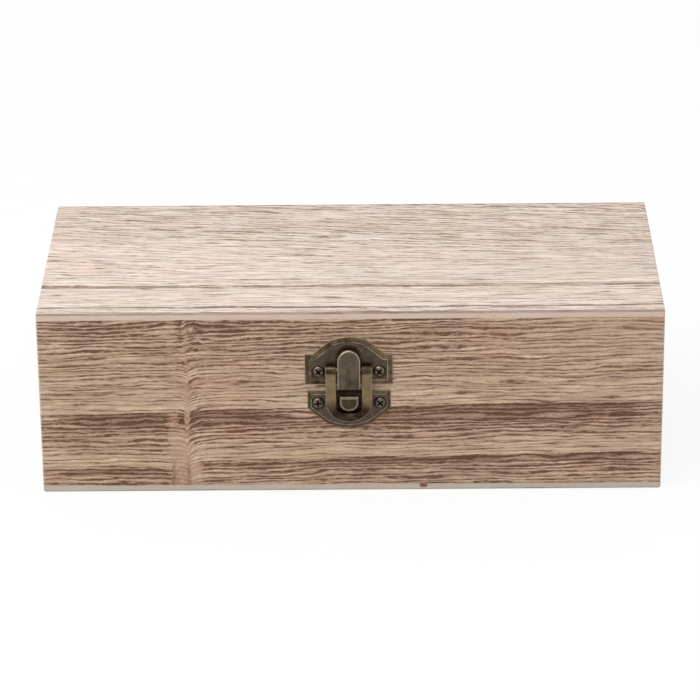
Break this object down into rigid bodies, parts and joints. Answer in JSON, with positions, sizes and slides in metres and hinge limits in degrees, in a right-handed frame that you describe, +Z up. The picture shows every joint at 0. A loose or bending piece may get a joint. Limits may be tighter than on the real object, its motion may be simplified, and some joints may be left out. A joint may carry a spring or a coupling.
{
  "type": "brush box with hinged lid",
  "caption": "Long low wooden box with a back-hinged lid, thin glued-on top and bottom panels, and a small bronzed draw latch on the front.",
  "frame": {"origin": "centre of the bottom panel's underside, on the surface the box stands on", "axes": "+X along the box to the right as seen from the latch side, -Y the front with the latch, +Z up; the lid is shut"},
  "size_m": [0.23, 0.1162, 0.072],
  "materials": {
    "paulownia": "torched and brushed, unvarnished",
    "antique_bronze": "dark antique bronze plating, worn bright at the edges",
    "screw_bronze": "dark antique bronze plating",
    "pin_steel": "bronzed"
  },
  "bodies": {
    "base": {"base_front_board": "paulownia", "base_back_board": "paulownia", "base_left_board": "paulownia", "base_right_board": "paulownia", "bottom_panel": "paulownia", "latch_lower_plate": "antique_bronze", "lower_plate_screws": "screw_bronze", "left_hinge_base_leaf": "antique_bronze", "left_hinge_base_screws": "screw_bronze", "left_hinge_pin": "pin_steel", "right_hinge_base_leaf": "antique_bronze", "right_hinge_base_screws": "screw_bronze", "right_hinge_pin": "pin_steel"},
    "lid": {"lid_front_board": "paulownia", "lid_back_board": "paulownia", "lid_left_board": "paulownia", "lid_right_board": "paulownia", "top_panel": "paulownia", "latch_upper_plate": "antique_bronze", "upper_plate_screws": "screw_bronze", "lever_pin": "pin_steel", "left_hinge_lid_leaf": "antique_bronze", "left_hinge_lid_screws": "screw_bronze", "right_hinge_lid_leaf": "antique_bronze", "right_hinge_lid_screws": "screw_bronze"},
    "lever": {"latch_lever": "antique_bronze"},
    "loop_pin": {"loop_pin": "pin_steel"},
    "loop": {"latch_loop": "antique_bronze"}
  },
  "joints": [
    {"name": "lid_hinge", "type": "hinge", "parent": "base", "child": "lid", "pos_m": [0, 0.0557, 0.0422], "axis": [-1, 0, 0], "range_deg": [0, 180]},
    {"name": "lever_hinge", "type": "hinge", "parent": "lid", "child": "lever", "pos_m": [-0.0007, -0.0568, 0.0443], "axis": [1, 0, 0], "range_deg": [0, 105]},
    {"name": "loop_pin_turn", "type": "hinge", "parent": "lever", "child": "loop_pin", "pos_m": [-0.0007, -0.0572, 0.0506], "axis": [1, 0, 0], "range_deg": [-105, 0]},
    {"name": "loop_swing", "type": "hinge", "parent": "loop_pin", "child": "loop", "pos_m": [-0.0007, -0.0572, 0.0506], "axis": [-1, 0, 0], "range_deg": [-4.2, 170]}
  ],
  "couplings": [
    {"joint": "loop_pin_turn", "follows": "lever_hinge", "ratio": -1}
  ]
}
